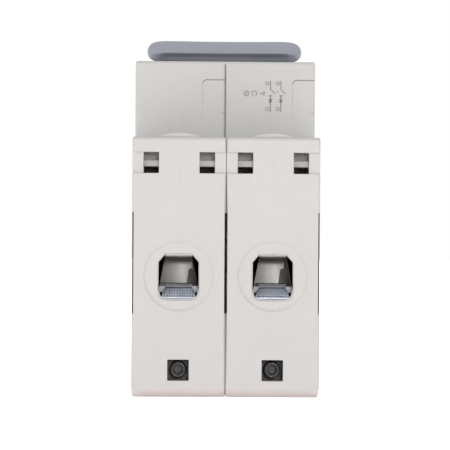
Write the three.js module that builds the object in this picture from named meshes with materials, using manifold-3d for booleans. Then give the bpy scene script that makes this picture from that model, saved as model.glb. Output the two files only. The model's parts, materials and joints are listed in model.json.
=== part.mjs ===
// Two-pole DIN-rail miniature circuit breaker. Millimetres; X across the poles, Y between the
// terminal ends, Z from the rail side up to the toggle. The origin is under the centre of the back.
import * as THREE from 'three';
import { mergeVertices } from 'three/addons/utils/BufferGeometryUtils.js';
import Module from 'manifold-3d';

const wasm = await Module();
wasm.setup();

// ---------------------------------------------------------------- driving sizes
const MODULE = 17.85;          // pitch of the poles
const POLE_GAP = 0.1;          // air between two poles
const POLE = MODULE - POLE_GAP;
const SIDE = POLE / 2;         // pole centre to its outer face
const HEIGHT = 82;             // between the terminal ends
const END = HEIGHT / 2;
const SHOULDER = 49.5;         // back to the terminal shoulder
const FRONT = 65.5;            // back to the nose front
const NOSE = 45 / 2;           // half length of the nose
const WALL = 1.1;              // side wall
const FACE = 1.6;              // end wall and roof
const INSIDE = SIDE - WALL;    // pole centre to the inner face of a side wall
const EDGE = 0.25;             // broken outer edges

const RAIL = 35 / 2;           // half width of the top-hat rail
const SEAT = 5.5;              // height of the rail seat above the back
const LIP_ROOM = 1.4;          // room for the rail's 1 mm lip
const CHAMFER = [3.5, 1.74];   // bevel of the back edges

const TIP_LINE = FRONT - 3.7;  // top of the cover's wrap on the nose end
const JOG_LINE = SHOULDER + 5; // where the parting line leaves the pole's middle
const WRAP = 4.45;             // pole centre to the cover's edge on the nose

const TERMINAL = END - 7.2;    // pole centre to the clamp screws
const PARTITION = [END - 15.4, END - 13.8]; // wall between mechanism and clamps
const ENTRY = { wide: 7.3, low: 18.8, high: 27.1, middle: 23.1, dish: 8.0, step: 7.1 };
const STRIP = { low: ENTRY.high - 0.5, high: ENTRY.high + 0.7, half: 3.4, tip: END - 2.4 };
const STOP = {
  near: TERMINAL - 5.7, far: TERMINAL - 4.6, low: ENTRY.low + 2.8, notch: STRIP.low - 2.2,
  edge: 1.9, ear: 2.6,
};
const SCREW = { r: 2.35, head: 3.15, low: STRIP.high + 12.2, high: STRIP.high + 15.4 };
const CAGE = {
  near: TERMINAL - 3.8, far: TERMINAL + 3.8, half: 4.9, wall: 1.0,
  floor: ENTRY.low + 1.1, roof: STRIP.high + 2.2, top: STRIP.high + 5.6,
};
const CHAMBER = { half: CAGE.half + 0.7, low: ENTRY.low - 1.6, high: SCREW.low - 1.4 };
const WELL = SCREW.head + 0.3; // screwdriver well
const WINDOW = { near: 3.85, far: 6.75, low: SHOULDER - 6.9, high: SHOULDER - 2.9 };
const LATCH_HOLE = { half: 2.02, low: 3.33, high: 7.3 };
const LATCH_WAY = { half: 3.6, low: 2.4, high: 7.6 };

const PIVOT = [0, FRONT - 10]; // toggle pivot (y, z)
const ON_TILT = 30;            // toggle leans this far towards -Y when on
const DRUM = 10.2;             // radius of the toggle's drum
const TRUNNION = 1.8;
const PIN = 1.2;               // contact carrier's pin
const LEG = 0.75;              // radius of the link wire
const RUN = 0.08;              // running clearance on a radius
const CARRIER = [8, PIVOT[1] - 17.5];                    // contact carrier pivot
const CRANK = [PIVOT[0] - 0.495, PIVOT[1] + 3.971];      // link's upper leg at rest
const HOOK = [CARRIER[0] - 5.559, CARRIER[1] + 6.762];   // link's lower leg at rest
const TRIP = [-7.5, CARRIER[1] + 3.5];                   // common trip bar
const BAR = 1.1;               // radius of the trip bar
const RIVET = 1.5;
const RIVETS = [
  [-END + 4.6, 12.6], [END - 4.6, 12.6], [-PARTITION[0] + 2.7, SHOULDER - 4.2], [16.2, 10],
  [-NOSE + 4.6, FRONT - 4.7], [NOSE - 4.6, FRONT - 4.7],
];

// ---------------------------------------------------------------- finishes
const finish = (color, roughness, metalness) => ({ color, roughness, metalness });
const FINISH = {
  shell: finish(0xd9d5d2, 0.55, 0), grey: finish(0x9298a2, 0.5, 0), black: finish(0x1c1c1e, 0.5, 0),
  amber: finish(0xb98a4a, 0.5, 0), card: finish(0xc9b9a0, 0.8, 0), zinc: finish(0x9aa0a8, 0.4, 0.9),
  steel: finish(0x8c8f94, 0.35, 1), copper: finish(0xb36b45, 0.35, 1), nickel: finish(0xb9b4a8, 0.3, 1),
};

// ---------------------------------------------------------------- solids
/** A boolean-ready solid from any closed three.js geometry. */
function solidOf(geometry) {
  geometry.deleteAttribute('normal');
  geometry.deleteAttribute('uv');
  const merged = mergeVertices(geometry, 1e-4);
  const corners = new Uint32Array(merged.index.array);
  const pack = () => new wasm.Manifold(new wasm.Mesh({
    numProp: 3, vertProperties: new Float32Array(merged.attributes.position.array), triVerts: corners,
  }));
  const solid = pack();
  if (solid.volume() > 0) return solid;
  for (let i = 0; i < corners.length; i += 3) [corners[i], corners[i + 1]] = [corners[i + 1], corners[i]];
  return pack();
}

/** Corner list [u, v, radius?] to points, each rounded corner as a short arc. */
function outline(corners, steps = 3) {
  return corners.flatMap(([u, v, r = 0], i) => {
    const here = new THREE.Vector2(u, v);
    if (!r) return [here];
    const away = (k) => new THREE.Vector2(...corners[(i + k + corners.length) % corners.length].slice(0, 2))
      .sub(here).normalize();
    const [back, on] = [away(-1), away(1)];
    const half = back.angleTo(on) / 2;
    const centre = here.clone().addScaledVector(back.clone().add(on).normalize(), r / Math.sin(half));
    const first = here.clone().addScaledVector(back, r / Math.tan(half)).sub(centre);
    const last = here.clone().addScaledVector(on, r / Math.tan(half)).sub(centre);
    const turn = Math.atan2(first.cross(last), first.dot(last));
    return Array.from({ length: steps + 1 }, (_, k) =>
      first.clone().rotateAround(new THREE.Vector2(), (turn * k) / steps).add(centre));
  });
}

/** Corners of a circle, flats spread so that the area is close to the true one. */
function circle([u, v], r, sides = 20) {
  return Array.from({ length: sides }, (_, k) => {
    const a = ((k + 0.5) / sides) * 2 * Math.PI;
    return [u + r * Math.cos(a), v + r * Math.sin(a)];
  });
}

const FRAMES = {
  x: [[0, 1, 0], [0, 0, 1], [1, 0, 0]],    // outline in (y, z)
  y: [[1, 0, 0], [0, 0, 1], [0, -1, 0]],   // outline in (x, z)
  z: [[1, 0, 0], [0, 1, 0], [0, 0, 1]],    // outline in (x, y)
};

/** An outline pushed along one axis, with optional broken edges. */
function prism(axis, from, to, corners, edge = 0) {
  const shape = new THREE.Shape(outline(corners));
  const geometry = new THREE.ExtrudeGeometry(shape, {
    depth: to - from - 2 * edge, bevelEnabled: edge > 0, bevelSize: edge, bevelThickness: edge,
    bevelOffset: -edge, bevelSegments: 1,
  });
  const [u, v, w] = FRAMES[axis].map((a) => new THREE.Vector3(...a));
  const turn = new THREE.Matrix4().makeBasis(u, v, w);
  const start = axis === 'y' ? to : from;
  const shift = new THREE.Vector3();
  shift[axis] = start;
  geometry.translate(0, 0, edge).applyMatrix4(turn).translate(shift.x, shift.y, shift.z);
  return solidOf(geometry);
}

const rod = (axis, from, to, centre, r, sides) => prism(axis, from, to, circle(centre, r, sides));

function box(x0, x1, y0, y1, z0, z1) {
  const g = new THREE.BoxGeometry(x1 - x0, y1 - y0, z1 - z0);
  return solidOf(g.translate((x0 + x1) / 2, (y0 + y1) / 2, (z0 + z1) / 2));
}

/** A round wire along a curve. */
function wire(curve, r, steps, sides = 6) {
  const section = new THREE.Shape(outline(circle([0, 0], r, sides)));
  return solidOf(new THREE.ExtrudeGeometry(section, { steps, extrudePath: curve, bevelEnabled: false }));
}

/** A wire bent through the given points with straight runs between them. */
function bentWire(points, r, sides = 6) {
  const path = new THREE.CurvePath();
  const at = points.map((p) => new THREE.Vector3(...p));
  const bend = r * 1.4;
  let from = at[0];
  for (let i = 1; i < at.length - 1; i += 1) {
    const into = at[i].clone().addScaledVector(at[i - 1].clone().sub(at[i]).normalize(), bend);
    const out = at[i].clone().addScaledVector(at[i + 1].clone().sub(at[i]).normalize(), bend);
    path.add(new THREE.LineCurve3(from, into));
    path.add(new THREE.QuadraticBezierCurve3(into, at[i], out));
    from = out;
  }
  path.add(new THREE.LineCurve3(from, at.at(-1)));
  return wire(path, r, 5 * at.length, sides);
}

class Helix extends THREE.Curve {
  constructor(axis, centre, r, from, to, turns, phase = 0) {
    super();
    Object.assign(this, { axis, centre, r, from, to, turns, phase });
  }

  getPoint(t, target = new THREE.Vector3()) {
    const a = this.phase + t * this.turns * 2 * Math.PI;
    const [u, v] = [this.centre[0] + this.r * Math.cos(a), this.centre[1] + this.r * Math.sin(a)];
    const w = this.from + t * (this.to - this.from);
    return this.axis === 'x' ? target.set(w, u, v) : target.set(u, w, v);
  }
}

const join = (...solids) => solids.reduce((a, b) => a.add(b));
const cut = (solid, ...tools) => tools.reduce((a, b) => a.subtract(b), solid);
const both = (make) => join(make(-1), make(1));
/** A box given between two |y| values on one end of the pole. */
const endBox = (end, x0, x1, near, far, z0, z1) =>
  box(x0, x1, Math.min(end * near, end * far), Math.max(end * near, end * far), z0, z1);
const turned = (solid) => solid.rotate([0, 0, 180]);

/** One named mesh with a finish of its own. */
function piece(name, solid, look) {
  const made = solid.getMesh();
  const geometry = new THREE.BufferGeometry();
  geometry.setAttribute('position', new THREE.BufferAttribute(new Float32Array(made.vertProperties), 3));
  geometry.setIndex(new THREE.BufferAttribute(new Uint32Array(made.triVerts), 1));
  geometry.computeVertexNormals();
  const mesh = new THREE.Mesh(geometry, new THREE.MeshStandardMaterial(FINISH[look]));
  mesh.name = name;
  return mesh;
}

// ---------------------------------------------------------------- moulded shells
/** Side view of the pole: back lands, rail channel with its fixed hook, ends, shoulders and nose. */
function poleOutline() {
  const [run, rise] = CHAMFER;
  const floor = SEAT + 0.2;
  const lip = SEAT - LIP_ROOM;
  const land = [12.8, 15.4];
  return [
    [-END + run, 0], [-RAIL - 0.6, 0], [-RAIL - 0.6, floor],
    [-land[1], floor], [-land[1], SEAT], [-land[0], SEAT], [-land[0], floor],
    [land[0], floor], [land[0], SEAT], [land[1], SEAT], [land[1], floor],
    [RAIL + 0.3, floor], [RAIL + 0.3, lip], [RAIL - 1.3, lip], [RAIL - 0.9, 2.2], [RAIL + 1.1, 0],
    [END - run, 0], [END, rise], [END, SHOULDER, 0.8], [NOSE, SHOULDER, 0.6], [NOSE, FRONT, 0.8],
    [-NOSE, FRONT, 0.8], [-NOSE, SHOULDER, 0.6], [-END, SHOULDER, 0.8], [-END, rise],
  ];
}

/** Low arched hood on the shoulder, round the screwdriver well. */
function hood(end) {
  const [half, rise] = [4.45, 0.8];
  const r = (half * half + rise * rise) / (2 * rise);
  const open = Math.asin(half / r);
  const arc = Array.from({ length: 11 }, (_, k) => {
    const a = open * (1 - k / 5);
    return [r * Math.sin(a), SHOULDER + rise - r * (1 - Math.cos(a))];
  });
  const [y0, y1] = [end * (END - 3.4), end * (NOSE - 0.3)].sort((a, b) => a - b);
  return prism('y', y0, y1, [[-half, SHOULDER - 0.5], [half, SHOULDER - 0.5], ...arc]);
}

function cavities() {
  const [inner, outer] = PARTITION;
  const mechanism = prism('x', -INSIDE, INSIDE, [
    [-inner, 9], [-RAIL + 0.5, 9], [-RAIL + 0.5, SEAT + 1.9], [inner, SEAT + 1.9], [inner, SHOULDER - FACE],
    [NOSE - FACE, SHOULDER - FACE], [NOSE - FACE, FRONT - FACE], [-NOSE + FACE, FRONT - FACE],
    [-NOSE + FACE, SHOULDER - FACE], [-inner, SHOULDER - FACE],
  ]);
  const { half, low, high } = CHAMBER;
  const chamber = (end) => endBox(end, -half, half, outer, END - FACE, low, high);
  const pocket = (end) => endBox(end, -INSIDE, INSIDE, outer + 0.2, END - FACE, 9, low - 1.4);
  const stripSlot = (end) =>
    endBox(end, -STRIP.half - 0.1, STRIP.half + 0.1, inner - 0.6, outer + 0.8,
      STRIP.low - 0.05, STRIP.high + 0.05);
  const hookHollow = endBox(1, -INSIDE, INSIDE, RAIL + 3, END - 5, 1.6, 6.2);
  return [mechanism, both(chamber), both(pocket), both(stripSlot), hookHollow];
}

/** Wire entry with its funnel edge and the round dish it sits in. */
function wireEntry(end) {
  const half = ENTRY.wide / 2;
  const hole = (grow) => [
    [-half - grow, ENTRY.low - grow, 1.3 + grow], [half + grow, ENTRY.low - grow, 1.3 + grow],
    [half + grow, ENTRY.high - 1.35], [half - 1.2 + grow * 0.4, ENTRY.high + grow],
    [-half + 1.2 - grow * 0.4, ENTRY.high + grow], [-half - grow, ENTRY.high - 1.35],
  ];
  const slab = (from, to, corners) =>
    prism('y', Math.min(end * from, end * to), Math.max(end * from, end * to), corners);
  /** Shallow cone in the end face, r wide at depth 0 and r - 0.7 at the given depth. */
  const dish = (r, depth) => wasm.Manifold.cylinder(2 * depth, r - 0.7, r + 0.7, 40)
    .rotate([90 * -end, 0, 0])
    .translate([0, end * (END - depth), ENTRY.middle]);
  return join(
    slab(END - FACE - 0.3, END + 1, hole(0)),
    slab(END - 0.75, END + 1, hole(0.3)),
    dish(ENTRY.step, 0.5),
    dish(ENTRY.dish, 0.25),
  );
}

/** Pocket and outward notch of the four small windows, one end and one side. */
function windowPocket(end, side) {
  const span = (a, b) => [side * a, side * b].sort((p, q) => p - q);
  const [x0, x1] = span(WINDOW.near, WINDOW.far);
  const [s0, s1] = span(WINDOW.far - 0.1, SIDE + 1);
  return join(
    endBox(end, x0, x1, END - 4.6, END + 1, WINDOW.high - 1.5, WINDOW.high),
    endBox(end, x0, x1, END - 2.1, END + 1, WINDOW.high - 2.8, WINDOW.high),
    endBox(end, x0, x1, END - 13, END + 1, WINDOW.low, WINDOW.high - 2.7),
    endBox(end, s0, s1, END - 0.35, END + 1, WINDOW.low, WINDOW.high),
  );
}

function openings() {
  const well = (end) => rod('z', CHAMBER.high - 0.3, SHOULDER + 2, [0, end * TERMINAL], WELL, 20);
  const recess = (end) => both((side) => {
    const [x0, x1] = [side * (SIDE - 0.2), side * (SIDE + 1)].sort((a, b) => a - b);
    return endBox(end, x0, x1, END - 5, END + 1, 16.1, 35.1);
  });
  const latchWay = box(
    -LATCH_WAY.half, LATCH_WAY.half, -END + FACE, -RAIL + 0.5, LATCH_WAY.low, LATCH_WAY.high);
  const latchHole = box(
    -LATCH_HOLE.half, LATCH_HOLE.half, -END - 1, -END + 2, LATCH_HOLE.low, LATCH_HOLE.high);
  const toggleSlot = prism('z', FRONT - FACE - 0.5, FRONT + 1,
    [[-3.15, -9.8, 0.6], [3.15, -9.8, 0.6], [3.15, 9.8, 0.6], [-3.15, 9.8, 0.6]]);
  return [
    both(wireEntry), both(well), both(recess), latchWay, latchHole, toggleSlot,
    both((end) => both((side) => windowPocket(end, side))),
  ];
}

/** Both half shells of one pole: the base carries the front, the cover wraps onto the nose end. */
function shells() {
  let body = join(prism('x', -SIDE, SIDE, poleOutline(), EDGE), both(hood));
  body = cut(body, ...cavities());
  const bosses = [
    ...RIVETS.map((at) => rod('x', -SIDE + 0.5, SIDE - 0.5, at, RIVET + 0.8, 10)),
    both((side) => {
      const span = (a, b) => [side * a, side * b].sort((p, q) => p - q);
      return join(
        rod('x', ...span(5.15, SIDE - 0.5), PIVOT, TRUNNION + 1.6, 14),
        rod('x', ...span(5.15, SIDE - 0.5), CARRIER, PIN * 2, 12),
      );
    }),
  ];
  body = cut(join(body, ...bosses), ...openings());
  body = cut(body,
    ...RIVETS.map((at) => rod('x', -SIDE - 1, SIDE + 1, at, RIVET + 0.02, 10)),
    ...RIVETS.map((at) => both((side) => {
      const [x0, x1] = [side * (SIDE - 0.45), side * (SIDE + 1)].sort((a, b) => a - b);
      return rod('x', x0, x1, at, RIVET + 0.95, 12);
    })),
    rod('x', -INSIDE - 0.4, INSIDE + 0.4, PIVOT, TRUNNION + RUN, 16),
    rod('x', -INSIDE - 0.4, INSIDE + 0.4, CARRIER, PIN + 0.02, 12),
    rod('x', -SIDE - 1, SIDE + 1, TRIP, BAR + RUN, 12),
  );
  const far = END + 5;
  const baseSide = prism('y', -far, far, [
    [-SIDE - 5, -5], [0, -5], [0, JOG_LINE], [WRAP, JOG_LINE], [WRAP, TIP_LINE, 0.8],
    [SIDE + 5, TIP_LINE], [SIDE + 5, FRONT + 5], [-SIDE - 5, FRONT + 5],
  ]);
  const springRib = box(-SIDE + 0.5, 2.2, SPRING.seat + 0.2, SPRING.seat + 1.6, SPRING.z - 3, SPRING.z + 2.6);
  return { base: join(body.intersect(baseSide), springRib), cover: cut(body, baseSide) };
}

// ---------------------------------------------------------------- toggle and linkage
const CONTACT = { y: -6.2, low: CARRIER[1] - 20.8, high: CARRIER[1] - 17.8 };  // meeting face of the pads
const SPRING = { z: CARRIER[1] - 7.6, arm: CARRIER[0] + 1.55, seat: CARRIER[0] + 5 };

/** Side outline given about the contact carrier's pivot. */
const aboutCarrier = (corners) =>
  corners.map(([y, z, r = 0]) => [y + CARRIER[0], z + CARRIER[1], r]);

/** Solid made about the toggle pivot, leaned to its resting position. */
const leaned = (solid) => solid.rotate([ON_TILT, 0, 0]).translate([0, ...PIVOT]);

function toggleLever() {
  const sector = Array.from({ length: 17 }, (_, k) => {
    const a = ((k / 16) * 150 - 75) * (Math.PI / 180);
    return [DRUM * Math.sin(a), DRUM * Math.cos(a)];
  });
  const drum = join(
    prism('x', -2.9, 2.9, [[-3.4, -2.2], ...sector, [3.4, -2.2]]),
    rod('x', -2.9, 2.9, [0, 0], 4.2, 24),
    box(-2.9, 2.9, -1.7, 1.7, 8, 15.2),
    rod('x', -INSIDE, INSIDE, [0, 0], TRUNNION, 16),
  );
  return cut(leaned(drum), rod('x', -6, 6, CRANK, LEG + 0.1, 12));
}

/** One bar across both poles, with finger scoops front and back and a socket per stem. */
function handleCap() {
  const half = MODULE / 2 + 6.9;
  const bar = prism('x', -half, half,
    [[-2.7, 13.5, 0.8], [2.7, 13.5, 0.8], [3.1, 16.9, 1.4], [-3.1, 16.9, 1.4]], 0.4);
  const scoop = both((side) => rod('x', -MODULE / 2 - 3.2, MODULE / 2 + 3.2, [side * 9.2, 15.2], 6.7, 48));
  const sockets = both((side) =>
    box(side * MODULE / 2 - 2.95, side * MODULE / 2 + 2.95, -1.75, 1.75, 13, 15.25));
  return leaned(cut(bar, scoop, sockets));
}

const toggleSpring = () => wire(new Helix('x', PIVOT, 2.6, 3.3, 4.9, 2.5), 0.3, 28, 4);

/** U-shaped wire from the toggle's crank hole to the contact carrier, bowed past the pivot. */
function link() {
  const lane = -4.2;
  return bentWire([
    [2.5, ...CRANK], [lane, ...CRANK], [lane, PIVOT[0] + 3.5, PIVOT[1] + 2.3],
    [lane, PIVOT[0] + 4.1, PIVOT[1] - 3.5], [lane, ...HOOK], [2.5, ...HOOK],
  ], LEG);
}

function carrier() {
  const cheek = (x0, x1) => prism('x', x0, x1, aboutCarrier([
    [-7.4, 5.4], [-7.1, 8.6, 1], [-3.8, 8.6, 1], [2.4, 1.4, 1], [2.6, -3, 1], [0.6, -8], [-2.8, -8],
    [-2.4, -1],
  ]));
  const hub = rod('x', -2.9, 2.9, CARRIER, 2.6, 16);
  return cut(join(cheek(-2.9, -1.6), cheek(1.6, 2.9), hub),
    rod('x', -6, 6, CARRIER, PIN + RUN, 12), rod('x', -6, 6, HOOK, LEG + 0.4, 12));
}

const carrierPin = () => rod('x', -INSIDE - 0.35, INSIDE + 0.35, CARRIER, PIN, 12);

/** Latch hook on the carrier's pin, reaching to the trip lever. */
function latch() {
  const arm = prism('x', 3.05, 4.4, aboutCarrier([
    [-11.4, 4.2], [-11.4, 5.9], [-9.9, 5.9], [-1.4, 2.2], [2.2, 0], [0, -2.2], [-2.1, -0.6],
  ]));
  return cut(arm, rod('x', 2, 6, CARRIER, PIN + RUN, 12));
}

/** Moving contact arm with its silver pad. */
function contactArm() {
  return join(
    prism('x', -1.5, 1.5, aboutCarrier([
      [-13.3, -21.5], [-11.6, -21.5], [-11.2, -17.6], [-3.4, -10], [0.7, -6.5], [0.7, -2.9], [-1.8, -2.9],
      [-2.8, -6.8], [-6.4, -10.4], [-13.3, -16.8],
    ])),
    box(-1.5, 1.5, CONTACT.y + 0.03, CONTACT.y + 1, CONTACT.low, CONTACT.high),
    box(-1, 1, CARRIER[0] - 1.5, SPRING.arm, SPRING.z - 0.8, SPRING.z + 0.8),
  );
}

const contactSpring = () =>
  wire(new Helix('y', [0, SPRING.z], 1.7, SPRING.arm + 0.35, SPRING.seat - 0.2, 3), 0.32, 33, 4);

/** Flexible braid, from the arm's foot round to the bimetal. */
function braid() {
  const curve = new THREE.CatmullRomCurve3(aboutCarrier([
    [-3.9, -11.8], [-2, -14.4], [2, -17.4], [6.4, -16], [8.6, -11.4], [10.9, -10.1],
  ]).map((p) => new THREE.Vector3(0, ...p)));
  return wire(curve, 0.9, 16, 6);
}

// ---------------------------------------------------------------- tripping parts
const COIL = { z: STRIP.high + 5.4, r: 4.6, wire: 0.8, from: -22, to: -12 };
const PLUNGER = 1.4;
const BIMETAL = { near: 19.7, far: 20.7, foot: 11.2, top: TRIP[1] - 1.3 };

const tripBar = () => rod('x', -MODULE / 2 - 4, MODULE / 2 + 7.4, TRIP, BAR, 12);

/** Paddle for the plunger, sleeve on the bar, and the arm hooked over the bimetal. */
function tripLever() {
  const [y, z] = TRIP;
  const [low, tip] = [COIL.z - 2, z - 4.9];
  const finger = BIMETAL.far + 1.2;
  return cut(join(
    rod('x', -2.4, 6.4, TRIP, BAR + 1, 16),
    prism('x', -1.8, 1.8, [
      [y - 0.6, z], [y + 0.9, z - 4.7], [y + 0.9, low], [y + 1.9, low], [y + 2.1, z - 4.7], [y + 1.9, z],
    ]),
    prism('x', 5.1, 6.3, [
      [y, z - 1.4], [finger, z - 0.2], [finger, tip], [finger + 1.2, tip], [finger + 1.2, z + 1.4],
      [y, z + 1.7],
    ]),
    box(-1, 6.3, finger, finger + 1.2, tip, tip + 2),
  ), rod('x', -4, 8, TRIP, BAR + 0.01, 12));
}

function coil() {
  const path = new Helix('y', [0, COIL.z], COIL.r, COIL.from, COIL.to, 5, -Math.PI / 2);
  return wire(path, COIL.wire, 60);
}

/** Three-sided steel frame round the coil, open on the cover side. */
function yoke() {
  const [back, front, spine] = [COIL.from - 2.5, COIL.to + 2.6, -COIL.r - COIL.wire - 0.6];
  const frame = prism('z', COIL.z - 4.8, COIL.z + 5.2, [
    [spine - 1.2, back], [5, back], [5, back + 1.2], [spine, back + 1.2], [spine, front - 1],
    [5, front - 1], [5, front], [spine - 1.2, front],
  ]);
  return cut(frame, rod('y', front - 2, front + 1, [0, COIL.z], PLUNGER + 0.1, 16));
}

/** Plunger: rod inside the coil, head outside the yoke. */
const plunger = () => join(
  rod('y', COIL.from + 2, COIL.to + 3.9, [0, COIL.z], PLUNGER, 16),
  rod('y', COIL.to + 3, COIL.to + 3.9, [0, COIL.z], PLUNGER + 1.1, 20));

const bimetal = () => box(-2.4, 2.4, BIMETAL.near, BIMETAL.far, BIMETAL.foot + 0.05, BIMETAL.top);

const RUNNER = CONTACT.low - 1.6;   // underside of the fixed contact's arc runner

/** Steel splitter plates notched under the contacts, held by two side cards. */
function arcChute() {
  const [half, low, high] = [5.6, 8.4, RUNNER - 0.4];
  const plates = Array.from({ length: 9 }, (_, k) => {
    const y = -12 + k * 2.7;
    return prism('y', y, y + 0.8, [
      [-half, low], [half, low], [half, high], [2.2, high], [0.6, high - 3], [-0.6, high - 3], [-2.2, high],
      [-half, high],
    ]);
  });
  return join(...plates, both((side) =>
    box(side * half - 0.4, side * half + 0.4, -13, 11.4, low - 0.4, high + 0.2)));
}

// ---------------------------------------------------------------- conductors and terminals
/** Flat strip under the clamp screw, bent down behind the wire, with a notch at one corner. */
const terminalStrip = (end, inner) => join(
  endBox(end, -STRIP.half, STRIP.half, inner, STRIP.tip, STRIP.low, STRIP.high),
  endBox(end, -STRIP.half, STOP.edge, STOP.near, STOP.far, STOP.low, STRIP.high),
  endBox(end, STOP.edge - 0.1, STOP.ear, STOP.near, STOP.far, STOP.notch, STRIP.high),
);

const lineStrip = () => terminalStrip(-1, -COIL.from - 0.7);

/** Fixed contact: tail under the coil's last turn, pad, and the runner for the arc. */
function fixedContact() {
  const [back, face] = [CONTACT.y - 2, CONTACT.y - 0.8];
  return join(
    box(-2.4, 2.4, COIL.to - 0.6, face, STRIP.low, STRIP.high),
    box(-2.4, 2.4, back, face, RUNNER + 0.2, STRIP.high),
    box(-2.4, 2.4, -13, face, RUNNER, RUNNER + 1),
    box(-1.6, 1.6, face - 0.5, CONTACT.y, CONTACT.low, CONTACT.high),
  );
}

/** Load strip: terminal end, drop behind the bimetal, and its foot. */
function loadStrip() {
  const drop = BIMETAL.far + 2.9;
  return join(
    terminalStrip(1, drop),
    box(-STRIP.half, STRIP.half, drop, drop + 1.2, BIMETAL.foot - 1.2, STRIP.high),
    box(-2.4, 2.4, BIMETAL.near - 0.4, drop + 1.2, BIMETAL.foot - 1.2, BIMETAL.foot),
  );
}

/** Box clamp: lifts as its screw turns, with a lead-in lip under the wire. Line end. */
function cage() {
  const { near, far, half, wall, floor, roof, top } = CAGE;
  const frame = cut(box(-half, half, -far, -near, floor, top),
    box(-half + wall, half - wall, -far - 1, -near + 1, floor + 1.3, roof));
  const lip = prism('x', -3.2, 3.2, [
    [-far + 0.2, floor + 1.3], [-far - 1.3, floor - 0.8], [-far - 1.3, floor - 1.3],
    [-far - 0.5, floor - 1.3],
    [-far + 0.2, floor + 0.2],
  ]);
  return cut(join(frame, lip), rod('z', roof - 1, top + 1, [0, -TERMINAL], SCREW.r + RUN, 12));
}

/** Cross-slotted clamp screw, line end. */
function screw() {
  const at = [0, -TERMINAL];
  const head = join(rod('z', SCREW.low, SCREW.high, at, SCREW.head, 18),
    rod('z', STRIP.high + 0.04, SCREW.low + 0.1, at, SCREW.r, 12));
  const [y, high] = [TERMINAL, SCREW.high];
  return cut(head,
    box(-2.7, 2.7, -y - 0.55, -y + 0.55, high - 1.6, high + 1),
    box(-0.55, 0.55, -y - 2, -y + 2, high - 1.6, high + 1));
}

/** Sprung rail latch: hook under the rail's lip, pull boss behind the square hole. */
function railLatch() {
  const [low, high, tail] = [LATCH_WAY.low + 0.4, LATCH_WAY.high - 0.5, -END + 4.4];
  const [lip, middle] = [SEAT - LIP_ROOM, (LATCH_HOLE.low + LATCH_HOLE.high) / 2];
  const half = LATCH_WAY.half - 0.3;
  return cut(join(
    prism('x', -half, half, [
      [tail, low], [-RAIL - 1.1, low], [-RAIL + 1.3, low + 0.6], [-RAIL + 1.3, lip], [-RAIL - 0.9, lip],
      [-RAIL - 0.9, high], [tail, high],
    ]),
    rod('y', -END + 2.1, tail + 0.2, [0, middle], 1.6, 16),
  ), rod('y', -END + 1, tail - 0.4, [0, middle], 0.9, 12));
}

// ---------------------------------------------------------------- assembly
function pole(side, at) {
  const { base, cover } = shells();
  const parts = [
    ['base', base, 'shell'], ['cover', cover, 'shell'],
    ['toggle_lever', toggleLever(), 'grey'], ['toggle_spring', toggleSpring(), 'steel'],
    ['link', link(), 'steel'], ['carrier', carrier(), 'black'], ['carrier_pin', carrierPin(), 'steel'],
    ['latch', latch(), 'steel'], ['contact_arm', contactArm(), 'copper'],
    ['contact_spring', contactSpring(), 'steel'], ['braid', braid(), 'copper'],
    ['trip_lever', tripLever(), 'amber'], ['coil', coil(), 'copper'], ['yoke', yoke(), 'steel'],
    ['plunger', plunger(), 'steel'], ['bimetal', bimetal(), 'nickel'], ['arc_chute', arcChute(), 'steel'],
    ['line_strip', lineStrip(), 'nickel'], ['fixed_contact', fixedContact(), 'copper'],
    ['load_strip', loadStrip(), 'nickel'],
    ['line_cage', cage(), 'zinc'], ['line_screw', screw(), 'zinc'],
    ['load_cage', turned(cage()), 'zinc'], ['load_screw', turned(screw()), 'zinc'],
    ['rail_latch', railLatch(), 'black'],
  ];
  const group = new THREE.Group();
  group.name = `${side}_pole`;
  group.position.x = at;
  parts.forEach(([name, solid, look]) => group.add(piece(`${side}_${name}`, solid, look)));
  return group;
}

/** Tubular rivet through both poles, heads sunk in the outer walls. */
function rivet(at) {
  const out = MODULE / 2 + SIDE;
  return join(
    rod('x', -out + 0.1, out - 0.1, at, RIVET, 10),
    rod('x', -out + 0.1, -out + 0.43, at, RIVET + 0.8, 12),
    rod('x', out - 0.43, out - 0.1, at, RIVET + 0.8, 12),
  );
}

const breaker = new THREE.Group();
breaker.name = 'circuit_breaker';
breaker.add(pole('left', -MODULE / 2), pole('right', MODULE / 2));
breaker.add(piece('handle_cap', handleCap(), 'grey'), piece('trip_bar', tripBar(), 'amber'));
RIVETS.forEach((at, i) => breaker.add(piece(`rivet_${i + 1}`, rivet(at), 'nickel')));

export default breaker;
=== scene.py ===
# %% [markdown]
# # A two-pole circuit breaker, one piece at a time
# A miniature circuit breaker clips on a rail in a distribution board. Two poles stand side by side, each in
# a pair of moulded half shells, and one toggle bar works both.
# The imported model gives every size and place. This lesson dresses it: the moulded parts get soft edges and
# a fine grain, the metal parts get plating, with painted shade as a darker tone on the clamp lips and the
# strips deep in the wire entries, and small repeated details are grown by rules.

import json
import math

import bmesh
import bpy
import numpy as np
from mathutils import Matrix, Vector


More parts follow.
